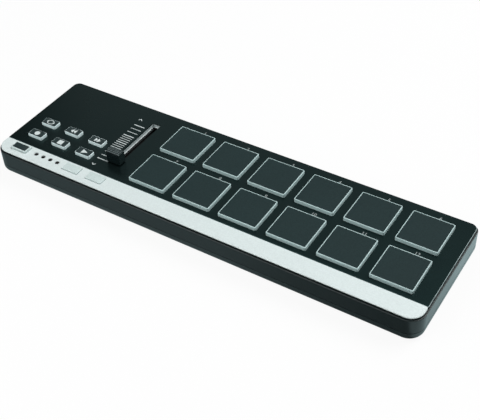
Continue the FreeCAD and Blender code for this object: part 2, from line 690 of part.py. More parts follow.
def make_usb_socket():
    x0, y0, x1, y1 = socket_box()
    z0 = Z_BOARD_TOP
    z1 = z0 + SOCKET_HEIGHT
    w = SOCKET_WALL
    shell = turned_slab(x0, x1, z0, z1, SOCKET_CORNER, y0, y1)
    return shell.cut(turned_slab(x0 + w, x1 - w, z0 + w, z1 - w, SOCKET_CORNER - w, y0, y1))


def make_usb_insulator():
    """Plastic back wall of the socket with the tongue that stands in its mouth."""
    x0, y0, x1, y1 = socket_box()
    w = SOCKET_WALL
    z0 = Z_BOARD_TOP + w
    z1 = Z_BOARD_TOP + SOCKET_HEIGHT - w
    back = turned_slab(x0 + w, x1 - w, z0, z1, SOCKET_CORNER - w, y0, y0 + SOCKET_BACKING)
    x = (x0 + x1) / 2
    z = (z0 + z1) / 2
    tongue = box(x - TONGUE_WIDTH / 2, y0, z - TONGUE_HEIGHT / 2,
                 x + TONGUE_WIDTH / 2, y1 - TONGUE_SINK, z + TONGUE_HEIGHT / 2)
    return back.fuse(tongue).removeSplitter()


def make_board_chips():
    left = CASE_LEFT + WALL + BOARD_EDGE_GAP
    back = CASE_BACK - WALL - BOARD_EDGE_GAP
    chips = []
    for across, deep, high, from_left, from_back in CHIPS:
        x = left + from_left
        y = back - from_back
        chips.append(box(x - across / 2, y - deep / 2, Z_BOARD_TOP, x + across / 2, y + deep / 2,
                         Z_BOARD_TOP + high))
    return Part.makeCompound(chips)


def make_capacitors():
    x0 = CASE_LEFT + WALL + BOARD_EDGE_GAP + CAPACITOR_FROM_LEFT
    y0 = CASE_BACK - WALL - BOARD_EDGE_GAP - CAPACITOR_FROM_BACK
    r = CAPACITOR_RADIUS
    cans = []
    for i in range(CAPACITOR_COUNT):
        y = y0 - i * CAPACITOR_PITCH
        foot = centred_slab(x0, y, 2 * r, 2 * r, r / 4, Z_BOARD_TOP, Z_BOARD_TOP + CAPACITOR_BASE)
        can = rod(x0, y, r, Z_BOARD_TOP + CAPACITOR_BASE, Z_BOARD_TOP + CAPACITOR_HEIGHT)
        cans.append(foot.fuse(can).removeSplitter())
    return Part.makeCompound(cans)


def build():
    nodes = {
        "upper_case": make_upper_case(),
        "lower_case": make_lower_case(),
        "top_panel": make_top_panel(),
        "silver_strip": make_silver_strip(),
        "feet": make_feet(),
        "case_screws": make_case_screws(),
        "main_board": make_main_board(),
        "sensor_sheet": make_sensor_sheet(),
        "board_chips": make_board_chips(),
        "capacitors": make_capacitors(),
        "push_switches": make_switches(),
        "switch_plungers": make_switch_plungers(),
        "indicator_lamps": make_lamps(),
        "usb_socket": make_usb_socket(),
        "usb_insulator": make_usb_insulator(),
        "fader_liner": make_fader_liner(),
        "fader_frame": make_fader_frame(),
        "fader_track": make_fader_track(),
        "fader_carriage": make_fader_carriage(),
        "fader_cap": make_fader_cap(),
    }
    for name, x, y in button_places():
        size = (BUTTON_WIDTH, BUTTON_DEPTH, BUTTON_CORNER, BUTTON_PROUD)
        face = make_face(x, y, *size, BUTTON_FACE_BORDER)
        nodes[name + "_button"] = make_cap(x, y, *size).cut(face)
        nodes[name + "_button_face"] = face
    for name, x, y, proud in key_places():
        size = (KEY_WIDTH, KEY_DEPTH, KEY_CORNER, proud)
        cap = make_cap(x, y, *size)
        if name == "scene":
            face = make_face(x, y, *size, SCENE_FACE_BORDER)
            cap = cap.cut(face)
            nodes["scene_key_face"] = face
        nodes[name + "_key"] = cap
    for number, x, y in pad_places():
        nodes["pad_%d" % number] = make_pad(x, y)
        nodes["pad_%d_top" % number] = make_pad_top(x, y)
    return nodes


def main():
    os.makedirs("parts", exist_ok=True)
    nodes = build()
    for name, shape in nodes.items():
        assert shape.isValid() and shape.Solids, name
        shape.exportStep("parts/%s.step" % name)
    print(len(nodes), "nodes written")


main()
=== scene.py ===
# %% [markdown]
# A pad controller is a flat box of black plastic with soft, pale rubber pads standing out of it. The solid
# model already holds every piece at its real size and place, so this lesson never moves anything. It gives
# each surface its finish, and it remodels the pieces that need soft edges: the pads, the buttons and keys,
# the fader cap and its channel, the lamps and the feet. It also prints the signs, the scale and the numbers,
# which the solids do not carry.

# %% Load the solid model as a fixed frame
import math

import bmesh
import bpy
from mathutils import Matrix, Vector


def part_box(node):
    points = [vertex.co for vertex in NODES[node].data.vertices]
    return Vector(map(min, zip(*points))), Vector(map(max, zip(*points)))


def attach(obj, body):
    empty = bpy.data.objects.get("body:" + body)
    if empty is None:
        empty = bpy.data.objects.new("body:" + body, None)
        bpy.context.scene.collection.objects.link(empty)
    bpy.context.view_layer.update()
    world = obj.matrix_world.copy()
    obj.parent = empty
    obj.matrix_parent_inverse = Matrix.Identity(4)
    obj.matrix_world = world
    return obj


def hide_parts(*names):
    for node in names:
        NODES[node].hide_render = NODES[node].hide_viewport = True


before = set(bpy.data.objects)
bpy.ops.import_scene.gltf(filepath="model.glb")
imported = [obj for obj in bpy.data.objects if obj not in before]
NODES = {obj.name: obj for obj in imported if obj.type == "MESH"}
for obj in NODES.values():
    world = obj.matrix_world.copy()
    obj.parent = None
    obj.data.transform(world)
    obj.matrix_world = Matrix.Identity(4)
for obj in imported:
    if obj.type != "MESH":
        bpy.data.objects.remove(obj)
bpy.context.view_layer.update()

# %% [markdown]
# Blender counts in metres, but a product like this is thought of in millimetres. Every new piece is modelled
# in millimetres and shrunk once, when it is turned into a mesh. The helpers below read the size and place of
# a solid from the frame, so a new piece always sits where the solid does.

# %% Millimetres, and where a solid is
MM = 0.001


def span(node):
    """Lowest and highest corner of a solid, in millimetres."""
    low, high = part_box(node)
    return low / MM, high / MM


def middle(node):
    low, high = span(node)
    return (low + high) / 2


PANEL_TOP = span("top_panel")[1].z
print("top of the panel at", round(PANEL_TOP, 2), "mm")

# %% [markdown]
# The picture was taken from the front right, looking down, with a short telephoto lens, so the far end of the
# case shrinks only a little. Placing the camera first makes every later choice easy to judge. Its height,
# compass angle and the slight tilt of the horizon were found by lining up the corners of the pads.

# %% Camera
CAMERA_PLACE = Vector((279.1, -392.26, 438.2))
CAMERA_AZIMUTH = 34.10
CAMERA_ELEVATION = 42.58
CAMERA_ROLL = -3.06
CAMERA_LENS = 69.69
SENSOR_WIDTH = 36.0

camera_data = bpy.data.cameras.new("camera")
camera_data.lens = CAMERA_LENS
camera_data.sensor_width = SENSOR_WIDTH
camera = bpy.data.objects.new("camera", camera_data)
bpy.context.scene.collection.objects.link(camera)
turn = Matrix.Rotation(math.radians(CAMERA_AZIMUTH), 4, "Z")
tip = Matrix.Rotation(math.radians(90 - CAMERA_ELEVATION), 4, "X")
roll = Matrix.Rotation(math.radians(CAMERA_ROLL), 4, "Z")
camera.matrix_world = Matrix.Translation(CAMERA_PLACE * MM) @ turn @ tip @ roll
bpy.context.scene.camera = camera
bpy.context.scene.view_settings.view_transform = "Standard"
print("camera", round((CAMERA_PLACE * MM).length, 3), "m from the middle of the case")

# %% [markdown]
# Each finish, the floor and the sky are small graphs of shader nodes. These helpers keep the graphs short:
# they add a node, set its options, fill in the inputs that stay plain numbers, and join the rest.

# %% Helpers for shader nodes


def set_inputs(node, **values):
    """Fills in plain inputs by name. An underscore stands for a space."""
    for socket, value in values.items():
        node.inputs[socket.replace("_", " ")].default_value = value


def add_node(tree, kind, options=None, **values):
    """A new node. The options are set first, because they decide which inputs it has."""
    node = tree.nodes.new(kind)
    for option, setting in (options or {}).items():
        setattr(node, option, setting)
    set_inputs(node, **values)
    return node


def maths(tree, operation, first, second=0.0):
    """The output of one maths node. second is a number or a socket."""
    node = add_node(tree, "ShaderNodeMath", {"operation": operation})
    tree.links.new(first, node.inputs[0])
    if isinstance(second, (int, float)):
        node.inputs[1].default_value = second
    else:
        tree.links.new(second, node.inputs[1])
    return node.outputs[0]


def split_vector(tree, kind, output):
    """X, Y and Z of one output of a fresh node."""
    source = add_node(tree, kind)
    parts = add_node(tree, "ShaderNodeSeparateXYZ")
    tree.links.new(source.outputs[output], parts.inputs[0])
    return parts.outputs


def mix_shaders(tree, factor, first, second):
    """The first shader where the factor is 0, the second where it is 1."""
    mix = add_node(tree, "ShaderNodeMixShader")
    for output, socket in zip((factor, first, second), mix.inputs):
        tree.links.new(output, socket)
    return mix.outputs[0]


print("node helpers ready")

# %% [markdown]
# A catalogue picture stands on white. The floor starts as an ordinary pale painted surface, large enough to
# fill the picture.

# %% Floor
FLOOR_SIZE = 6.0
FLOOR_COLOUR = (0.80, 0.80, 0.80, 1)
FLOOR_ROUGHNESS = 0.9
FLOOR_SPECULAR = 0.1

floor_bm = bmesh.new()
bmesh.ops.create_grid(floor_bm, x_segments=1, y_segments=1, size=FLOOR_SIZE / 2)
floor_mesh = bpy.data.meshes.new("floor")
floor_bm.to_mesh(floor_mesh)
floor_bm.free()
floor = bpy.data.objects.new("floor", floor_mesh)
bpy.context.scene.collection.objects.link(floor)
floor_finish = bpy.data.materials.new("floor")
floor_finish.use_nodes = True
floor.data.materials.append(floor_finish)

floor_tree = floor_finish.node_tree
painted = floor_tree.nodes["Principled BSDF"]
set_inputs(painted, Base_Color=FLOOR_COLOUR, Roughness=FLOOR_ROUGHNESS, Specular_IOR_Level=FLOOR_SPECULAR)
print("floor", FLOOR_SIZE, "m across")

# %% [markdown]
# The walls of the case are glossy black, so they look like whatever they mirror. A photographer would stand
# black and white cards round them. Here the floor does that work as a painted reflection: a ray that comes
# from a glossy surface sees a glowing, slightly blue-green gradient in place of the paint. It is dark in
# front of the right half of the case, where it paints the shade on the floor, bright beside the right wall,
# and brighter at the back than in front.

# %% What the glossy walls mirror
CARD_STOPS = ((-0.160, 0.49), (0.020, 0.47), (0.080, 0.29), (0.150, 0.175), (0.1655, 0.175), (0.168, 0.87))
CARD_TINT = (0.80, 1.07, 1.10)
CARD_NEAR = -0.048
CARD_FAR = 0.048
CARD_NEAR_STRENGTH = 0.80
CARD_FAR_STRENGTH = 1.32

card_left = CARD_STOPS[0][0]
card_right = CARD_STOPS[-1][0]
at = split_vector(floor_tree, "ShaderNodeTexCoord", "Object")
along = add_node(floor_tree, "ShaderNodeMapRange", From_Min=card_left, From_Max=card_right)
ramp = add_node(floor_tree, "ShaderNodeValToRGB")
for x, _ in CARD_STOPS[1:-1]:
    ramp.color_ramp.elements.new((x - card_left) / (card_right - card_left))
for stop, (_, value) in zip(ramp.color_ramp.elements, CARD_STOPS):
    stop.color = tuple(value * c for c in CARD_TINT) + (1,)
across = add_node(floor_tree, "ShaderNodeMapRange", From_Min=CARD_NEAR, From_Max=CARD_FAR,
                  To_Min=CARD_NEAR_STRENGTH, To_Max=CARD_FAR_STRENGTH)
card = add_node(floor_tree, "ShaderNodeEmission")
join = floor_tree.links.new
join(at["X"], along.inputs["Value"])
join(along.outputs["Result"], ramp.inputs["Fac"])
join(ramp.outputs["Color"], card.inputs["Color"])
join(at["Y"], across.inputs["Value"])
join(across.outputs["Result"], card.inputs["Strength"])
ray = add_node(floor_tree, "ShaderNodeLightPath")
# Painted reflection: glossy rays see this gradient in place of the floor.
mirrored = mix_shaders(floor_tree, ray.outputs["Is Glossy Ray"], painted.outputs[0], card.outputs[0])
print(len(CARD_STOPS), "tones along the mirrored card")

# %% [markdown]
# For the camera alone the floor is mixed with plain white, which leaves only a faint shadow. Lighting the
# floor harder would reach the same white, but it would also wash out the pale buttons, so the light is left
# alone.

# %% A whiter floor for the camera
FLOOR_WHITENED = 0.92

plain_white = add_node(floor_tree, "ShaderNodeEmission")
whitening = maths(floor_tree, "MULTIPLY", ray.outputs["Is Camera Ray"], FLOOR_WHITENED)
whitened = mix_shaders(floor_tree, whitening, mirrored, plain_white.outputs[0])
join(whitened, floor_tree.nodes["Material Output"].inputs["Surface"])
print("floor whitened by", FLOOR_WHITENED)

# %% [markdown]
# The sky is white where the camera looks past the floor, but for everything that it lights it is almost
# black, so the dark panel stays dark.

# %% Sky
SKY_WHITE = (1, 1, 1, 1)
SKY_DARK = (0.05, 0.06, 0.06, 1)

world = bpy.data.worlds.new("studio")
world.use_nodes = True
bpy.context.scene.world = world
sky = world.node_tree
sky_ray = add_node(sky, "ShaderNodeLightPath")
sky_tone = add_node(sky, "ShaderNodeMix", {"data_type": "RGBA"}, A=SKY_DARK, B=SKY_WHITE)
sky.links.new(sky_ray.outputs["Is Camera Ray"], sky_tone.inputs["Factor"])
sky.links.new(sky_tone.outputs["Result"], sky.nodes["Background"].inputs["Color"])
print("sky set in", world.name)

# %% [markdown]
# Large square lamps give soft light. The main one stands high behind and to the right and lights the tops of
# everything. Two weaker ones stand in front and to the front left and lighten the front faces of the pads and
# buttons. The fourth is hardly more than a wide, dim card behind the object on the left. It lights next to
# nothing, but it is what the panel mirrors, so the panel has a soft sheen and goes black where the fader cap
# hides the card.

# %% Studio lamps


def soft_lamp(name, azimuth, elevation, distance, size, watts):
    """A square lamp that looks at the middle of the case. Azimuth 0 is in front, 90 to the right."""
    data = bpy.data.lights.new(name, "AREA")
    data.shape = "SQUARE"
    data.size = size
    data.energy = watts
    lamp = bpy.data.objects.new(name, data)
    a, e = math.radians(azimuth), math.radians(elevation)
    place = Vector((math.sin(a) * math.cos(e), -math.cos(a) * math.cos(e), math.sin(e))) * distance
    lamp.matrix_world = Matrix.Translation(place) @ place.to_track_quat("Z", "Y").to_matrix().to_4x4()
    bpy.context.scene.collection.objects.link(lamp)


soft_lamp("main_lamp", azimuth=140, elevation=50, distance=1.6, size=1.0, watts=24)
soft_lamp("front_left_lamp", azimuth=-40, elevation=45, distance=1.1, size=0.8, watts=5.1)
soft_lamp("front_lamp", azimuth=-10, elevation=40, distance=1.2, size=0.8, watts=3.7)
soft_lamp("back_card", azimuth=-151, elevation=40, distance=1.2, size=0.90, watts=0.93)
print(len(bpy.data.lights), "lamps")

# %% [markdown]
# Moulded plastic is never one flat colour. The mould leaves a fine grain, handling leaves broad patches that
# are slightly shinier or paler, and a coat of paint has tiny specks. Nearly every part has some of each, so
# they are built once, as a node group that gives out the height of the grain and two masks.

# %% Shared grain, patches and specks
GRAIN_SCALE = 3000.0
PATCH_SCALE = 25.0


def surface_group():
    group = bpy.data.node_groups.new("surface_grain", "ShaderNodeTree")
    for socket, value in (("Grain Scale", GRAIN_SCALE), ("Patch Scale", PATCH_SCALE)):
        made = group.interface.new_socket(socket, in_out="INPUT", socket_type="NodeSocketFloat")
        made.default_value = value
    for socket in ("Height", "Patch", "Speck"):
        group.interface.new_socket(socket, in_out="OUTPUT", socket_type="NodeSocketFloat")
    take = add_node(group, "NodeGroupInput")
    give = add_node(group, "NodeGroupOutput")
    place = add_node(group, "ShaderNodeTexCoord")
    grain = add_node(group, "ShaderNodeTexNoise", Detail=2.0, Roughness=0.6)
    patch = add_node(group, "ShaderNodeTexNoise", Detail=4.0, Roughness=0.55)
    speck = add_node(group, "ShaderNodeTexVoronoi")
    speck_tone = add_node(group, "ShaderNodeSeparateColor")
    link = group.links.new
    for texture in (grain, patch, speck):
        link(place.outputs["Object"], texture.inputs["Vector"])
    link(take.outputs["Grain Scale"], grain.inputs["Scale"])
    link(take.outputs["Grain Scale"], speck.inputs["Scale"])
    link(take.outputs["Patch Scale"], patch.inputs["Scale"])
    link(speck.outputs["Color"], speck_tone.inputs["Color"])
    link(grain.outputs["Fac"], give.inputs["Height"])
    link(patch.outputs["Fac"], give.inputs["Patch"])
    link(speck_tone.outputs["Red"], give.inputs["Speck"])
    return group


SURFACE = surface_group()
print("shared group:", SURFACE.name)

# %% [markdown]
# One recipe makes every finish. It takes two tones of the same colour and blends them by the patches, sets
# the roughness between two limits by the same mask, and presses the grain in as a shallow bump. Specks, where
# a finish has them, darken its colour here and there. What is the same all over, such as metalness, stays a
# plain number on the shader.

# %% Recipe for a finish
PATCH_LOW = 0.3
PATCH_HIGH = 0.7


def shade(rgb, factor):
    return tuple(min(1.0, c * factor) for c in rgb) + (1.0,)


def finish(name, rgb, rough, grain=GRAIN_SCALE, patches=PATCH_SCALE, depth=0.01, vary=0.12, specks=0.0,
           **plain):
    """rgb is linear. rough is a low and a high roughness, depth the grain's height in millimetres.

    vary is how far the patches lighten and darken the colour, specks how strongly the specks darken it.
    """
    material = bpy.data.materials.new(name)
    material.use_nodes = True
    tree = material.node_tree
    link = tree.links.new
    shader = tree.nodes["Principled BSDF"]
    marks = add_node(tree, "ShaderNodeGroup", {"node_tree": SURFACE}, Grain_Scale=grain, Patch_Scale=patches)
    tone = add_node(tree, "ShaderNodeMix", {"data_type": "RGBA"}, A=shade(rgb, 1 - vary),
                    B=shade(rgb, 1 + vary))
    link(marks.outputs["Patch"], tone.inputs["Factor"])
    colour = tone.outputs["Result"]
    if specks:
        fleck = add_node(tree, "ShaderNodeMix", {"data_type": "RGBA", "blend_type": "MULTIPLY"},
                         Factor=specks)
        link(colour, fleck.inputs["A"])
        link(marks.outputs["Speck"], fleck.inputs["B"])
        colour = fleck.outputs["Result"]
    link(colour, shader.inputs["Base Color"])
    sheen = add_node(tree, "ShaderNodeMapRange", From_Min=PATCH_LOW, From_Max=PATCH_HIGH,
                     To_Min=rough[0], To_Max=rough[1])
    link(marks.outputs["Patch"], sheen.inputs["Value"])
    link(sheen.outputs["Result"], shader.inputs["Roughness"])
    bump = add_node(tree, "ShaderNodeBump", Strength=1.0, Distance=depth * MM)
    link(marks.outputs["Height"], bump.inputs["Height"])
    link(bump.outputs["Normal"], shader.inputs["Normal"])
    set_inputs(shader, **plain)
    return material


print("recipe ready")

# %% [markdown]
# The finishes of this object. Black parts are dark grey, never pure black, or they would lose their shape.
# The pale pads and buttons let some light in, so they get a little scattering below the surface, and the
# charcoal skin on top of the pads is rubber with almost no gloss.

# %% Finishes of this object
CASE = finish("case_plastic", (0.0065, 0.0120, 0.0125), (0.28, 0.36), grain=2600, depth=0.008, IOR=1.5)
PANEL = finish("panel_plastic", (0.0017, 0.0037, 0.0038), (0.25, 0.31), grain=1500, depth=0.006, vary=0.2,
               specks=0.25, IOR=1.5, Specular_IOR_Level=0.35, Specular_Tint=(0.42, 1, 1, 1))
# The lower shell is the case plastic made a little lighter and glossier: painted light for the brighter band
# the floor throws onto it.
BASE = finish("base_plastic", (0.0084, 0.0156, 0.0163), (0.30, 0.38), grain=2600, depth=0.008, IOR=1.5,
              Specular_IOR_Level=0.72)
SILVER = finish("silver_coat", (0.685, 0.762, 0.757), (0.42, 0.50), grain=1500, depth=0.004, vary=0.02,
                specks=0.08, Metallic=0.1)
SILVER_KEY = finish("silver_key_coat", (0.60, 0.70, 0.69), (0.45, 0.52), grain=1500, depth=0.004,
                    vary=0.02, specks=0.12, Metallic=0.1)
SILICONE = finish("pad_silicone", (0.42, 0.55, 0.55), (0.45, 0.60), grain=1800, depth=0.01, vary=0.05,
                  Subsurface_Weight=0.25, Subsurface_Scale=0.0006, Subsurface_Radius=(1, 1, 1))
SKIN = finish("pad_skin", (0.0178, 0.0330, 0.0342), (0.62, 0.74), grain=1500, depth=0.02, vary=0.12,
              specks=0.15, Specular_IOR_Level=0.1)
CAP_PALE = finish("button_plastic", (0.72, 0.86, 0.87), (0.35, 0.45), grain=3000, depth=0.004, vary=0.04,
                  Subsurface_Weight=0.15, Subsurface_Scale=0.0004, Subsurface_Radius=(1, 1, 1))
FACE = finish("dark_face", (0.013, 0.026, 0.027), (0.32, 0.42), grain=4200, depth=0.004, vary=0.1)
INK = finish("white_ink", (0.56, 0.62, 0.62), (0.5, 0.6), grain=5000, depth=0.004, vary=0.06)
FAINT_INK = finish("grey_ink", (0.30, 0.34, 0.34), (0.5, 0.6), grain=5000, depth=0.004, vary=0.06)
GRIP = finish("fader_cap_plastic", (0.0018, 0.0055, 0.0062), (0.22, 0.30), grain=3000, depth=0.006,
              vary=0.15, Specular_IOR_Level=0.18)
LINER = finish("liner_plastic", (0.43, 0.50, 0.505), (0.40, 0.50), grain=3200, depth=0.006, vary=0.05)
BLACK_STEEL = finish("black_steel", (0.0040, 0.0055, 0.0060), (0.45, 0.55), grain=2000, depth=0.006,
                     vary=0.1, Specular_IOR_Level=0.3)
LENS = finish("lamp_lens", (0.0045, 0.0040, 0.0045), (0.12, 0.2), grain=3000, depth=0.002, vary=0.1,
              Coat_Weight=0.3)
RUBBER = finish("foot_rubber", (0.016, 0.016, 0.017), (0.7, 0.85), grain=1500, depth=0.03, vary=0.15,
                Specular_IOR_Level=0.3)
STEEL = finish("plated_steel", (0.55, 0.55, 0.56), (0.28, 0.4), grain=1200, depth=0.004, vary=0.06,
               Metallic=1.0)
DARK_STEEL = finish("screw_steel", (0.12, 0.12, 0.125), (0.35, 0.45), grain=1500, depth=0.006, vary=0.1,
                    Metallic=1.0)
BOARD = finish("circuit_board", (0.012, 0.075, 0.028), (0.3, 0.4), grain=900, patches=60, depth=0.01,
               vary=0.25, Coat_Weight=0.3)
FILM = finish("sensor_film", (0.30, 0.28, 0.21), (0.3, 0.4), grain=2000, depth=0.004, vary=0.08)
EPOXY = finish("moulded_black", (0.014, 0.014, 0.015), (0.5, 0.6), grain=2500, depth=0.01, vary=0.1)
CAN = finish("aluminium_can", (0.62, 0.63, 0.64), (0.3, 0.38), grain=1500, depth=0.004, vary=0.05,
             Metallic=1.0)
print(len(bpy.data.materials) - 1, "finishes")

# %% [markdown]
# Three finishes carry a painted highlight, and for each a mask says where. One helper serves all three:
# wherever the mask is white, it blends a second value into what feeds an input of the shader.

# %% Helper for masks


def blend_socket(material, socket, mask, value, kind="RGBA"):
    tree = material.node_tree
    target = tree.nodes["Principled BSDF"].inputs[socket]
    mix = add_node(tree, "ShaderNodeMix", {"data_type": kind}, B=value)
    tree.links.new(mask, mix.inputs["Factor"])
    tree.links.new(target.links[0].from_socket, mix.inputs["A"])
    tree.links.new(mix.outputs["Result"], target)


print("mask helper ready")

# %% [markdown]
# The ridges on top of the fader cap are given a greyer, rougher colour than its walls and the grooves
# between them: a painted highlight where the light catches the ridge tops. The mask takes what lies above the
# shoulders of the cap. It counts along the cap in steps from ridge to ridge and keeps the middle of each
# step.

# %% Painted highlight on the fader cap's ridges
CAP_CROWN = 0.9
CAP_DRAFT = 0.25
RIDGES = 5
GROOVE_SHARE = 0.5
# Painted highlight: colour and roughness of the lit ridge tops.
RIDGE_HIGHLIGHT = (0.085, 0.110, 0.112, 1)
RIDGE_HIGHLIGHT_ROUGHNESS = 0.55
RIDGE_HIGHLIGHT_MARGIN = 0.05

grip_tree = GRIP.node_tree
at = split_vector(grip_tree, "ShaderNodeTexCoord", "Object")
cap_low, cap_high = span("fader_cap")
above = maths(grip_tree, "GREATER_THAN", at["Z"], (cap_high.z - CAP_CROWN - RIDGE_HIGHLIGHT_MARGIN) * MM)
ridge_pitch = (cap_high.y - cap_low.y - 2 * CAP_DRAFT) / RIDGES * MM
from_front = maths(grip_tree, "SUBTRACT", at["Y"], (cap_low.y + CAP_DRAFT) * MM)
in_step = maths(grip_tree, "FRACT", maths(grip_tree, "DIVIDE", from_front, ridge_pitch))
off_middle = maths(grip_tree, "ABSOLUTE", maths(grip_tree, "SUBTRACT", in_step, 0.5))
on_ridge = maths(grip_tree, "LESS_THAN", off_middle, (1 - GROOVE_SHARE) / 2)
lit_ridge = maths(grip_tree, "MULTIPLY", above, on_ridge)
# The painted highlight goes onto the ridge tops.
blend_socket(GRIP, "Base Color", lit_ridge, RIDGE_HIGHLIGHT)
blend_socket(GRIP, "Roughness", lit_ridge, RIDGE_HIGHLIGHT_ROUGHNESS, "FLOAT")
print(RIDGES, "rubbed ridges,", round(ridge_pitch / MM, 2), "mm apart")

# %% [markdown]
# The panel is a plate with a dark face. Its outer edge gets a thin light line, a painted highlight where
# the light catches it. The mask takes what lies near the sides or the back of the plate and also faces
# outwards.

# %% Painted highlight on the edge of the panel
EDGE_HIGHLIGHT = (0.34, 0.42, 0.42, 1)
EDGE_HIGHLIGHT_FROM_X = 0.156
EDGE_HIGHLIGHT_FROM_Y = 0.040
SIDE_NORMAL = 0.3

plate_tree = PANEL.node_tree
at = split_vector(plate_tree, "ShaderNodeTexCoord", "Object")
facing = split_vector(plate_tree, "ShaderNodeNewGeometry", "True Normal")
near_side = maths(plate_tree, "GREATER_THAN", maths(plate_tree, "ABSOLUTE", at["X"]), EDGE_HIGHLIGHT_FROM_X)
faces_aside = maths(plate_tree, "GREATER_THAN", maths(plate_tree, "ABSOLUTE", facing["X"]), SIDE_NORMAL)
near_back = maths(plate_tree, "GREATER_THAN", at["Y"], EDGE_HIGHLIGHT_FROM_Y)
faces_back = maths(plate_tree, "GREATER_THAN", facing["Y"], SIDE_NORMAL)
lit_side = maths(plate_tree, "MULTIPLY", near_side, faces_aside)
lit_back = maths(plate_tree, "MULTIPLY", near_back, faces_back)
# Painted highlight: a thin light line on the outer edge of the plate.
blend_socket(PANEL, "Base Color", maths(plate_tree, "MAXIMUM", lit_side, lit_back), EDGE_HIGHLIGHT)
print("bare edge beyond", EDGE_HIGHLIGHT_FROM_X / MM, "mm from the middle of the panel")

# %% [markdown]
# The foot of the walls of the channel under the fader gets a lighter colour, a painted highlight that shows
# as a brighter line where the light catches the lower wall. This mask only looks at the height.

# %% Painted highlight at the foot of the fader channel
CHANNEL_FOOT_HIGHLIGHT = (0.90, 0.98, 0.98, 1)
CHANNEL_HIGHLIGHT_TOP = 18.25

at = split_vector(LINER.node_tree, "ShaderNodeTexCoord", "Object")
foot = maths(LINER.node_tree, "LESS_THAN", at["Z"], CHANNEL_HIGHLIGHT_TOP * MM)
# Painted highlight: the lower wall is made lighter.
blend_socket(LINER, "Base Color", foot, CHANNEL_FOOT_HIGHLIGHT)
print("bright foot up to", CHANNEL_HIGHLIGHT_TOP, "mm")

# %% [markdown]
# Solids whose shape is already right keep their mesh and only get a finish. The list says which.

# %% Finishes on the solids that stay
KEPT = {
    "upper_case": CASE, "lower_case": BASE, "top_panel": PANEL, "silver_strip": SILVER,
    "fader_frame": BLACK_STEEL, "fader_track": EPOXY, "fader_carriage": EPOXY,
    "usb_socket": STEEL, "usb_insulator": EPOXY, "main_board": BOARD, "sensor_sheet": FILM,
    "board_chips": EPOXY, "capacitors": CAN, "push_switches": EPOXY, "switch_plungers": EPOXY,
    "case_screws": DARK_STEEL,
}
for node, material in KEPT.items():
    NODES[node].data.materials.clear()
    NODES[node].data.materials.append(material)
print(len(KEPT), "solids keep their mesh")

# %% [markdown]
# Pads, buttons and keys are all the same idea: a rounded plate that rises in steps, each a little smaller
# than the one below. One flat face with rounded corners is drawn first. Then it climbs: insetting the face
# makes a shelf, extruding it makes a wall, and a few small steps along a quarter circle make a soft edge.

# %% Helpers for stepped forms
CORNER_SEGMENTS = 8
ROUND_SEGMENTS = 32
EDGE_STEPS = 4


def rounded_face(bm, x, y, width, depth, corner, z):
    """A flat face with the same radius at all four corners."""
    verts = bmesh.ops.create_grid(bm, x_segments=1, y_segments=1, size=0.5)["verts"]
    bmesh.ops.scale(bm, verts=verts, vec=(width, depth, 1))
    bmesh.ops.translate(bm, verts=verts, vec=(x, y, z))
    cut = bmesh.ops.bevel(bm, geom=verts, offset=corner, offset_type="OFFSET", segments=CORNER_SEGMENTS,
                          profile=0.5, affect="VERTICES", material=-1, clamp_overlap=False)
    return cut["verts"][0].link_faces[0]


def round_face(bm, x, y, radius, z, segments=ROUND_SEGMENTS):
    made = bmesh.ops.create_circle(bm, cap_ends=True, radius=radius, segments=segments)
    bmesh.ops.translate(bm, verts=made["verts"], vec=(x, y, z))
    return made["verts"][0].link_faces[0]


def climb(bm, face, steps):
    """Takes a face through steps of (inset, rise). The first is a rise, as a bare face takes no inset."""
    for inset, rise in steps:
        if inset > 0:
            bmesh.ops.inset_region(bm, faces=[face], thickness=inset, use_even_offset=True)
        else:
            face = bmesh.ops.extrude_discrete_faces(bm, faces=[face])["faces"][0]
        if rise:
            bmesh.ops.translate(bm, verts=face.verts, vec=(0, 0, rise))


def quarter_steps(inset, rise, count):
    """Steps along a quarter of an ellipse, from an upright wall to a level top."""
    angles = [math.pi / 2 * i / count for i in range(count + 1)]
    return [(inset * (math.cos(a) - math.cos(b)), rise * (math.sin(b) - math.sin(a)))
            for a, b in zip(angles, angles[1:])]


def soft_edge(radius, up=1):
    """Steps that round an edge. up is 1 for an upper edge and -1 for a lower one."""
    return quarter_steps(radius, up * radius, EDGE_STEPS)


print("stepped forms ready")

# %% [markdown]
# A form that climbed from a flat face is still open where that face was. So when a form becomes a piece, its
# doubled points are merged, its open rims are closed, and its faces are turned outwards, in that order. The
# last steps shrink it to metres, smooth all but its sharp edges, give it its finish, hang it under the body
# it rides on, and hide the solid it takes the place of.

# %% Helper that turns a form into a piece
SAME_PLACE = 0.0001
SHARP_FROM = 35


def make_piece(name, bm, material, body, replaces=()):
    bmesh.ops.remove_doubles(bm, verts=bm.verts, dist=SAME_PLACE)
    bmesh.ops.holes_fill(bm, edges=[e for e in bm.edges if e.is_boundary])
    bmesh.ops.recalc_face_normals(bm, faces=bm.faces)
    bmesh.ops.scale(bm, verts=bm.verts, vec=(MM, MM, MM))
    mesh = bpy.data.meshes.new(name)
    bm.to_mesh(mesh)
    bm.free()
    mesh.shade_smooth()
    mesh.set_sharp_from_angle(angle=math.radians(SHARP_FROM))
    mesh.materials.append(material)
    piece = bpy.data.objects.new(name, mesh)
    bpy.context.scene.collection.objects.link(piece)
    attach(piece, body)
    if replaces:
        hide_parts(*replaces)
    return piece


print("piece helper ready")

# %% [markdown]
# A pad is cast in pale silicone. A flange under the deck holds it in, a thick plunger reaches down to the
# sensor, and the visible block stands proud of the panel with a soft upper edge. A charcoal skin fills a
# shallow tray in its top and laps over the rim as a thin film, with the pale border left round it. Modelling
# the skin, and not only painting a dark square, gives the border its crisp inner edge.

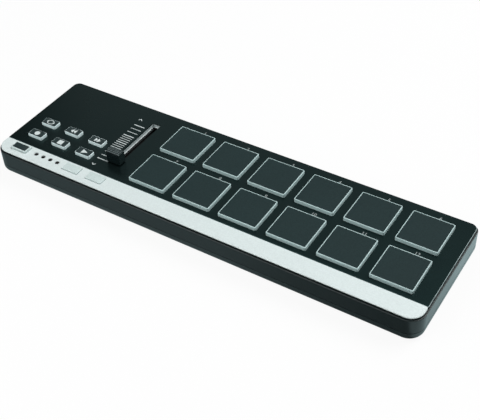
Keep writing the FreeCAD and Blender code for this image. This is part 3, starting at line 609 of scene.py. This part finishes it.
# %% Twelve pads
PAD_COUNT = 12
PAD_FLANGE = 1.2
PAD_FLANGE_THICKNESS = 1.4
PAD_CORNER = 1.0
PAD_EDGE = 0.3
PAD_PLUNGER = 19.0
PAD_PLUNGER_CORNER = 3.0
PLATE_THICKNESS = 0.8
DECK = 1.7
SEAT_GAP = 0.05
TRAY_DEPTH = 0.35
TRAY_GAP = 0.03
SKIN_CORNER = 0.3
SKIN_LAP = 0.32
LAP_THICKNESS = 0.03
FLANGE_TOP = PANEL_TOP - PLATE_THICKNESS - DECK - SEAT_GAP


def pad_silicone(number):
    name = "pad_%d" % number
    low, high = span(name)
    skin_low, skin_high = span(name + "_top")
    x, y = middle(name).xy
    size = high.x - low.x
    border = (size - 2 * PAD_FLANGE - (skin_high.x - skin_low.x)) / 2
    z_flange = FLANGE_TOP - PAD_FLANGE_THICKNESS
    steps = [(0, PAD_FLANGE_THICKNESS), (PAD_FLANGE, 0)]
    steps += [(0, high.z - z_flange - PAD_FLANGE_THICKNESS - PAD_EDGE)] + soft_edge(PAD_EDGE)
    steps += [(border - PAD_EDGE - TRAY_GAP, 0), (0, -TRAY_DEPTH)]
    bm = bmesh.new()
    climb(bm, rounded_face(bm, x, y, size, size, PAD_CORNER + PAD_FLANGE, z_flange), steps)
    plunger = rounded_face(bm, x, y, PAD_PLUNGER, PAD_PLUNGER, PAD_PLUNGER_CORNER, z_flange)
    climb(bm, plunger, [(0, low.z - z_flange)])
    make_piece(name + "_silicone", bm, SILICONE, name, [name])


def pad_skin(number):
    pad = "pad_%d" % number
    low, high = span(pad + "_top")
    x, y = middle(pad + "_top").xy
    size = high.x - low.x
    bottom = span(pad)[1].z - TRAY_DEPTH
    bm = bmesh.new()
    climb(bm, rounded_face(bm, x, y, size, size, SKIN_CORNER, bottom), [(0, high.z - bottom)])
    lap = size + 2 * SKIN_LAP
    film = rounded_face(bm, x, y, lap, lap, SKIN_CORNER + SKIN_LAP, high.z)
    climb(bm, film, [(0, LAP_THICKNESS)])
    make_piece(pad + "_skin", bm, SKIN, pad, [pad + "_top"])


for number in range(1, PAD_COUNT + 1):
    pad_silicone(number)
    pad_skin(number)
pad_low, pad_high = span("pad_1_top")
print(PAD_COUNT, "pads, each", round(pad_high.x - pad_low.x, 1), "mm inside the border")

# %% [markdown]
# The transport buttons and the strip keys are smaller versions of the same form in hard plastic. The
# transport buttons and the scene key have a dark face let into their tops. On the buttons it is a film whose
# edge laps over the rim. The left and right keys are plain and silver like the strip around them.

# %% Buttons and keys
CAP_FLANGE = 1.0
CAP_FLANGE_THICKNESS = 1.1
CAP_EDGE = 0.3
CAP_STEM_RADIUS = 1.6
CAP_STEM = 0.55
FACE_THICKNESS = 0.3
FACE_EDGE = 0.08
FACE_GAP = 0.02
FACE_LAP = 0.08
TRANSPORT = ["loop", "rewind", "forward", "record", "stop", "play"]


def press_cap(name, corner, material, face_node=None):
    """Flange, wall, soft edge, a tray for the dark face if there is one, and the stem below."""
    low, high = span(name)
    x, y = middle(name).xy
    width = high.x - low.x
    depth = high.y - low.y
    z_flange = low.z + CAP_STEM
    steps = [(0, CAP_FLANGE_THICKNESS), (CAP_FLANGE, 0)]
    steps += [(0, high.z - z_flange - CAP_FLANGE_THICKNESS - CAP_EDGE)] + soft_edge(CAP_EDGE)
    if face_node:
        face_low, face_high = span(face_node)
        border = (width - 2 * CAP_FLANGE - (face_high.x - face_low.x)) / 2
        steps += [(border - CAP_EDGE - FACE_GAP, 0), (0, -FACE_THICKNESS)]
    bm = bmesh.new()
    climb(bm, rounded_face(bm, x, y, width, depth, corner + CAP_FLANGE, z_flange), steps)
    climb(bm, round_face(bm, x, y, CAP_STEM_RADIUS, z_flange), [(0, -CAP_STEM)])
    make_piece(name + "_cap", bm, material, name, [name])


def cap_face(node, body, corner, lap=0.0):
    """The dark face in the tray. With a lap, a film covers the rim round it too."""
    low, high = span(node)
    x, y = middle(node).xy
    width, depth = high.x - low.x, high.y - low.y
    steps = [(0, high.z - low.z - FACE_EDGE)] + soft_edge(FACE_EDGE)
    bm = bmesh.new()
    climb(bm, rounded_face(bm, x, y, width, depth, corner, low.z), steps)
    if lap:
        film = rounded_face(bm, x, y, width + 2 * lap, depth + 2 * lap, corner + lap, high.z)
        climb(bm, film, [(0, LAP_THICKNESS)])
    make_piece(node + "_plate", bm, FACE, body, [node])


BUTTON_CORNER = 0.8
KEY_CORNER = 0.8
FACE_CORNER = 0.4
SCENE_FACE_CORNER = 0.2
PLAIN_KEYS = ["left_key", "right_key"]

for name in TRANSPORT:
    node = name + "_button"
    press_cap(node, BUTTON_CORNER, CAP_PALE, node + "_face")
    cap_face(node + "_face", node, FACE_CORNER, FACE_LAP)
press_cap("scene_key", KEY_CORNER, SILVER_KEY, "scene_key_face")
cap_face("scene_key_face", "scene_key", SCENE_FACE_CORNER)
for node in PLAIN_KEYS:
    press_cap(node, KEY_CORNER, SILVER_KEY)
print(len(TRANSPORT), "buttons and", len(PLAIN_KEYS) + 1, "keys")

# %% [markdown]
# The signs are printed in white ink. A print is a film with hardly any height, so each sign is a flat shape
# raised by a few hundredths of a millimetre. Triangles, discs and bars all come from the same round face
# with three, many or four sides, turned so that a point or a flat side looks the right way.

# %% Helpers for printed shapes
INK_THICKNESS = 0.03
POINT_UP = 0
POINT_DOWN = 180
POINT_RIGHT = -90
POINT_LEFT = 90
SQUARE_ON = 45


def thicken(bm, faces):
    """Raises flat faces into a film of ink."""
    raised = bmesh.ops.extrude_face_region(bm, geom=faces)["geom"]
    points = [v for v in raised if isinstance(v, bmesh.types.BMVert)]
    bmesh.ops.translate(bm, verts=points, vec=(0, 0, INK_THICKNESS))


def ink_shape(bm, x, y, z, width, depth, sides, turned=0):
    """A print with so many sides, turned by degrees, stretched to width and depth and centred there."""
    verts = bmesh.ops.create_circle(bm, cap_ends=True, radius=0.5, segments=sides)["verts"]
    bmesh.ops.rotate(bm, verts=verts, cent=(0, 0, 0), matrix=Matrix.Rotation(math.radians(turned), 3, "Z"))
    wide = max(v.co.x for v in verts) - min(v.co.x for v in verts)
    deep = max(v.co.y for v in verts) - min(v.co.y for v in verts)
    bmesh.ops.scale(bm, verts=verts, vec=(width / wide, depth / deep, 1))
    off_x = (max(v.co.x for v in verts) + min(v.co.x for v in verts)) / 2
    off_y = (max(v.co.y for v in verts) + min(v.co.y for v in verts)) / 2
    bmesh.ops.translate(bm, verts=verts, vec=(x - off_x, y - off_y, z))
    climb(bm, verts[0].link_faces[0], [(0, INK_THICKNESS)])


print("a print is", INK_THICKNESS, "mm thick")

# %% [markdown]
# Every transport button has the sign that such buttons always have. The loop is the only one that is not a
# plain shape: a flattened ring, bridged between two stretched circles, with an arrow head on each side. The
# heads stand a hundredth of a millimetre higher, so that no two inked faces share a plane.

# %% Signs on the buttons
SIGN_SIZE = 4.3
SIGN_WIDENED = 1.15
SIGN_SHIFT = {"play": 0.5, "forward": 0.3}
DISC_SIDES = 32
LOOP_WIDTH = 6.0
LOOP_DEPTH = 4.6
LOOP_STROKE = 0.55
LOOP_SEGMENTS = 32
HEAD_WIDTH = 2.0
HEAD_DEPTH = 1.6
HEAD_OFF = 0.5
HEAD_LIFT = 0.01


def sign_triangles(bm, x, y, z, count, turned):
    """One or two triangles side by side."""
    width = SIGN_SIZE * SIGN_WIDENED / count
    start = x - width * (count - 1) / 2
    for i in range(count):
        ink_shape(bm, start + i * width, y, z, width, SIGN_SIZE, 3, turned)


def sign_loop(bm, x, y, z):
    rims = []
    for grow in (0, -LOOP_STROKE):
        rim = bmesh.ops.create_circle(bm, radius=1.0, segments=LOOP_SEGMENTS)["verts"]
        bmesh.ops.scale(bm, verts=rim, vec=(LOOP_WIDTH / 2 + grow, LOOP_DEPTH / 2 + grow, 1))
        bmesh.ops.translate(bm, verts=rim, vec=(x, y, z))
        rims += [e for e in bm.edges if e.verts[0] in rim]
    thicken(bm, bmesh.ops.bridge_loops(bm, edges=rims)["faces"])
    reach = (LOOP_WIDTH - LOOP_STROKE) / 2
    for side, turned in ((1, POINT_DOWN), (-1, POINT_UP)):
        ink_shape(bm, x + side * reach, y - side * HEAD_OFF, z + HEAD_LIFT, HEAD_WIDTH, HEAD_DEPTH, 3, turned)


def draw_sign(bm, name, x, y, z):
    if name == "loop":
        sign_loop(bm, x, y, z)
    elif name == "rewind":
        sign_triangles(bm, x, y, z, 2, POINT_LEFT)
    elif name == "forward":
        sign_triangles(bm, x, y, z, 2, POINT_RIGHT)
    elif name == "record":
        ink_shape(bm, x, y, z, SIGN_SIZE, SIGN_SIZE, DISC_SIDES)
    elif name == "stop":
        ink_shape(bm, x, y, z, SIGN_SIZE, SIGN_SIZE, 4, SQUARE_ON)
    else:
        sign_triangles(bm, x, y, z, 1, POINT_RIGHT)


for name in TRANSPORT:
    node = name + "_button_face"
    place = middle(node)
    sign = bmesh.new()
    draw_sign(sign, name, place.x + SIGN_SHIFT.get(name, 0), place.y, span(node)[1].z + LAP_THICKNESS)
    make_piece(name + "_sign", sign, INK, name + "_button")
print("signs on", len(TRANSPORT), "buttons")

# %% [markdown]
# The fader scale is a row of fine bars beside the slot, closer together round its middle, with heavier bars
# in the middle, where the close part ends, and at both ends. A small arrow head above and below says which
# way is more and which is less. Each head is two short bars, pushed askew so that they meet in a point. The
# faces where they meet are taken out, so that each head is one closed shape.

# %% Fader scale
SCALE_LEFT = -93.4
SCALE_RIGHT = -84.2
SCALE_MIDDLE = 2.34
SCALE_STEP = 4.4
SCALE_STEPS = 5
FINE_STEPS = 4
BAR = 0.45
BAR_HEAVY = 0.75
ARROW_SIZE = 2.8
ARROW_STROKE = 0.8
ARROW_SLOPE = 1.0
ARROW_UP = (-92.6, 31.34)
ARROW_DOWN = (-91.5, -26.66)
NEAR_ENOUGH = 0.001


def arrow_head(bm, x, y, z, slope):
    """The point looks to the back for a positive slope and to the front for a negative one."""
    for side in (-1, 1):
        there = set(bm.verts)
        ink_shape(bm, x + side * ARROW_SIZE / 4, y, z, ARROW_SIZE / 2, ARROW_STROKE, 4, SQUARE_ON)
        for v in set(bm.verts) - there:
            v.co.y -= slope * (abs(v.co.x - x) - ARROW_SIZE / 4)
    meeting = [f for f in bm.faces if all(abs(v.co.x - x) < NEAR_ENOUGH for v in f.verts)]
    bmesh.ops.delete(bm, geom=meeting, context="FACES")


scale_bm = bmesh.new()
offsets = {i * SCALE_STEP for i in range(-SCALE_STEPS, SCALE_STEPS + 1)}
offsets |= {i * SCALE_STEP / 2 for i in range(-FINE_STEPS, FINE_STEPS + 1)}
heavy = (0, SCALE_STEP * FINE_STEPS / 2, SCALE_STEP * SCALE_STEPS)
for offset in sorted(offsets):
    thickness = BAR_HEAVY if any(abs(abs(offset) - h) < NEAR_ENOUGH for h in heavy) else BAR
    ink_shape(scale_bm, (SCALE_LEFT + SCALE_RIGHT) / 2, SCALE_MIDDLE + offset, PANEL_TOP,
              SCALE_RIGHT - SCALE_LEFT, thickness, 4, SQUARE_ON)
arrow_head(scale_bm, *ARROW_UP, PANEL_TOP, ARROW_SLOPE)
arrow_head(scale_bm, *ARROW_DOWN, PANEL_TOP, -ARROW_SLOPE)
make_piece("fader_scale", scale_bm, INK, "case")
print(len(offsets), "bars in the fader scale")

# %% [markdown]
# Each pad has its number printed behind it, in thin grey ink. Letters start as a text object in Blender's own
# font. They are turned into a mesh before they are placed, because a piece keeps its place in its mesh.

# %% Pad numbers
NUMBER_HEIGHT = 2.7
NUMBER_GAP = 1.9
NUMBER_OFFSET = 3.2
NUMBER_FINENESS = 3


def text_mesh(words):
    """A flat mesh of some words, centred on its own middle in X and standing on Y = 0."""
    curve = bpy.data.curves.new("words", "FONT")
    curve.body = words
    curve.align_x = "CENTER"
    curve.resolution_u = NUMBER_FINENESS
    holder = bpy.data.objects.new("words", curve)
    bpy.context.scene.collection.objects.link(holder)
    bpy.context.view_layer.update()
    mesh = bpy.data.meshes.new_from_object(holder.evaluated_get(bpy.context.evaluated_depsgraph_get()))
    bpy.data.objects.remove(holder)
    return mesh


numbers = bmesh.new()
for number in range(1, PAD_COUNT + 1):
    pad = "pad_%d" % number
    x = middle(pad).x + NUMBER_OFFSET
    y = span(pad)[1].y - PAD_FLANGE + NUMBER_GAP
    mesh = text_mesh(str(number))
    part = bmesh.new()
    part.from_mesh(mesh)
    size = NUMBER_HEIGHT / max(v.co.y for v in part.verts)
    bmesh.ops.scale(part, verts=part.verts, vec=(size, size, 1))
    bmesh.ops.translate(part, verts=part.verts, vec=(x, y, PANEL_TOP))
    thicken(part, list(part.faces))
    part.to_mesh(mesh)
    part.free()
    numbers.from_mesh(mesh)
make_piece("pad_numbers", numbers, FAINT_INK, "case")
print("numbers 1 to", PAD_COUNT)

# %% [markdown]
# The fader cap is a narrow block of black plastic, slightly wider at its foot, with a crowned top and fine
# ridges that a fingertip can grip. It starts as a cube. Cutting planes slice it into strips, the top of every
# second strip is sunk to make a groove, and a fine bevel catches the light along every ridge.

# %% Fader cap
GROOVE_DEPTH = 0.45
GRIP_BEVEL = 0.13
GRIP_BEVEL_SEGMENTS = 2
GRIP_BEVEL_FROM = 40


def fader_grip():
    low, high = span("fader_cap")
    centre = middle("fader_cap")
    shoulder = high.z - CAP_CROWN
    bm = bmesh.new()
    cube = bmesh.ops.create_cube(bm, size=1.0)["verts"]
    bmesh.ops.scale(bm, verts=cube, vec=(high.x - low.x, high.y - low.y, shoulder - low.z))
    bmesh.ops.translate(bm, verts=cube, vec=(centre.x, centre.y, (shoulder + low.z) / 2))
    for v in cube:
        if v.co.z > (shoulder + low.z) / 2:
            v.co.y += CAP_DRAFT if v.co.y < centre.y else -CAP_DRAFT
    front = low.y + CAP_DRAFT
    pitch = (high.y - low.y - 2 * CAP_DRAFT) / RIDGES
    for i in range(1, RIDGES):
        for side in (-1, 1):
            y = front + i * pitch + side * pitch * GROOVE_SHARE / 2
            bmesh.ops.bisect_plane(bm, geom=list(bm.verts) + list(bm.edges) + list(bm.faces),
                                   plane_co=(0, y, 0), plane_no=(0, 1, 0))
    half = (high.y - low.y) / 2 - CAP_DRAFT
    for v in bm.verts:
        if v.co.z > shoulder - NEAR_ENOUGH:
            v.co.z += CAP_CROWN * (1 - ((v.co.y - centre.y) / half) ** 2)
    for top in [f for f in bm.faces if f.normal.z > 0.5]:
        steps = (top.calc_center_median().y - front) / pitch
        if abs(steps - round(steps)) < GROOVE_SHARE / 2 and 0 < round(steps) < RIDGES:
            sunk = bmesh.ops.extrude_discrete_faces(bm, faces=[top])["faces"][0]
            bmesh.ops.translate(bm, verts=sunk.verts, vec=(0, 0, -GROOVE_DEPTH))
    return make_piece("fader_grip", bm, GRIP, "fader_slider", ["fader_cap"])


soft = fader_grip().modifiers.new("soft_edges", "BEVEL")
soft.width = GRIP_BEVEL * MM
soft.segments = GRIP_BEVEL_SEGMENTS
soft.limit_method = "ANGLE"
soft.angle_limit = math.radians(GRIP_BEVEL_FROM)
print("fader cap with", RIDGES, "ridges")

# %% [markdown]
# A pale channel lines the slot, so dust cannot fall in beside the cap and the slot reads as a clean light
# line. A flange under the panel holds it. Its long walls go straight down at first and then lean in a little,
# and the leaning part catches more light. It is a tube, so it is made of rings: each ring is a rounded
# rectangle at its own height, and every ring is joined to the next, corner by corner.

# %% Channel below the slot
LINER_WALL = 0.4
LINER_FLANGE = 1.5
LINER_FLANGE_THICKNESS = 0.6
LINER_CORNER = 0.4
LEAN = 0.2
LEAN_BELOW_PANEL = 2.7


def fader_channel():
    low, high = span("fader_liner")
    x, y = middle("fader_liner").xy
    inside = LINER_WALL + LINER_FLANGE
    z_flange = high.z - LINER_FLANGE_THICKNESS
    rings = [(LINER_FLANGE, LINER_FLANGE, low.z), (LINER_FLANGE, LINER_FLANGE, z_flange), (0, 0, z_flange),
             (0, 0, high.z), (inside, inside, high.z), (inside, inside, PANEL_TOP - LEAN_BELOW_PANEL),
             (inside + LEAN, inside, low.z)]
    bm = bmesh.new()
    loops = []
    for in_x, in_y, z in rings:
        corner = LINER_CORNER + inside - in_y
        face = rounded_face(bm, x, y, high.x - low.x - 2 * in_x, high.y - low.y - 2 * in_y, corner, z)
        loops.append(list(face.verts))
        bmesh.ops.delete(bm, geom=[face], context="FACES_ONLY")
    for first, second in zip(loops, loops[1:] + loops[:1]):
        for i in range(len(first)):
            bm.faces.new((first[i - 1], first[i], second[i], second[i - 1]))
    return make_piece("fader_channel", bm, LINER, "case", ["fader_liner"])


channel = fader_channel()
print("channel of", len(channel.data.polygons), "faces")

# %% [markdown]
# The four lamps are small domes of smoked plastic. They are not lit, so they read as black dots with one tiny
# reflection each. The collar and legs below the strip are made too, because the lamp is whole.

# %% Indicator lamps
LAMP_COUNT = 4
LAMP_RADIUS = 1.5
LAMP_COLLAR = 0.4
LAMP_COLLAR_THICKNESS = 1.0
LAMP_BODY = 5.3
LAMP_DOME = 0.55
LEG = 0.5
LEG_PITCH = 1.6
LEG_CORNER = 0.05
DOME_STEPS = 5

lamp_low, lamp_high = span("indicator_lamps")
lamp_y = (lamp_low.y + lamp_high.y) / 2
lamp_foot = lamp_high.z - LAMP_BODY
first_lamp = lamp_low.x + LAMP_RADIUS + LAMP_COLLAR
lamp_pitch = (lamp_high.x - lamp_low.x - 2 * (LAMP_RADIUS + LAMP_COLLAR)) / (LAMP_COUNT - 1)
lamp_steps = [(0, LAMP_COLLAR_THICKNESS), (LAMP_COLLAR, 0),
              (0, LAMP_BODY - LAMP_COLLAR_THICKNESS - LAMP_DOME)]
lamp_steps += quarter_steps(LAMP_RADIUS, LAMP_DOME, DOME_STEPS)[:-1]
lamps = bmesh.new()
for i in range(LAMP_COUNT):
    x = first_lamp + i * lamp_pitch
    climb(lamps, round_face(lamps, x, lamp_y, LAMP_RADIUS + LAMP_COLLAR, lamp_foot), lamp_steps)
    for side in (-1, 1):
        leg = rounded_face(lamps, x + side * LEG_PITCH / 2, lamp_y, LEG, LEG, LEG_CORNER, lamp_low.z)
        climb(lamps, leg, [(0, lamp_foot - lamp_low.z)])
make_piece("lamp_lenses", lamps, LENS, "case", ["indicator_lamps"])
print(LAMP_COUNT, "lamps,", round(lamp_pitch, 2), "mm apart")

# %% [markdown]
# Under the case stand four rubber feet. A moulded foot has a rounded rim and a shallow dish in its face,
# which grips the table, so each one steps down from its recess, turns in and then goes up into the dish.

# %% Rubber feet
FOOT_RADIUS = 6.0
FOOT_RIM = 0.4
FOOT_SEGMENTS = 40
DISH = 0.25
DISH_FROM_RIM = 1.6
DISH_SLOPE = 0.3

foot_low, foot_high = span("feet")
foot_steps = [(0, foot_low.z - foot_high.z + FOOT_RIM)] + soft_edge(FOOT_RIM, -1)
foot_steps += [(DISH_FROM_RIM, 0), (DISH_SLOPE, DISH)]
feet = bmesh.new()
for x in (foot_low.x + FOOT_RADIUS, foot_high.x - FOOT_RADIUS):
    for y in (foot_low.y + FOOT_RADIUS, foot_high.y - FOOT_RADIUS):
        climb(feet, round_face(feet, x, y, FOOT_RADIUS, foot_high.z, FOOT_SEGMENTS), foot_steps)
make_piece("rubber_feet", feet, RUBBER, "case", ["feet"])
print("four feet")
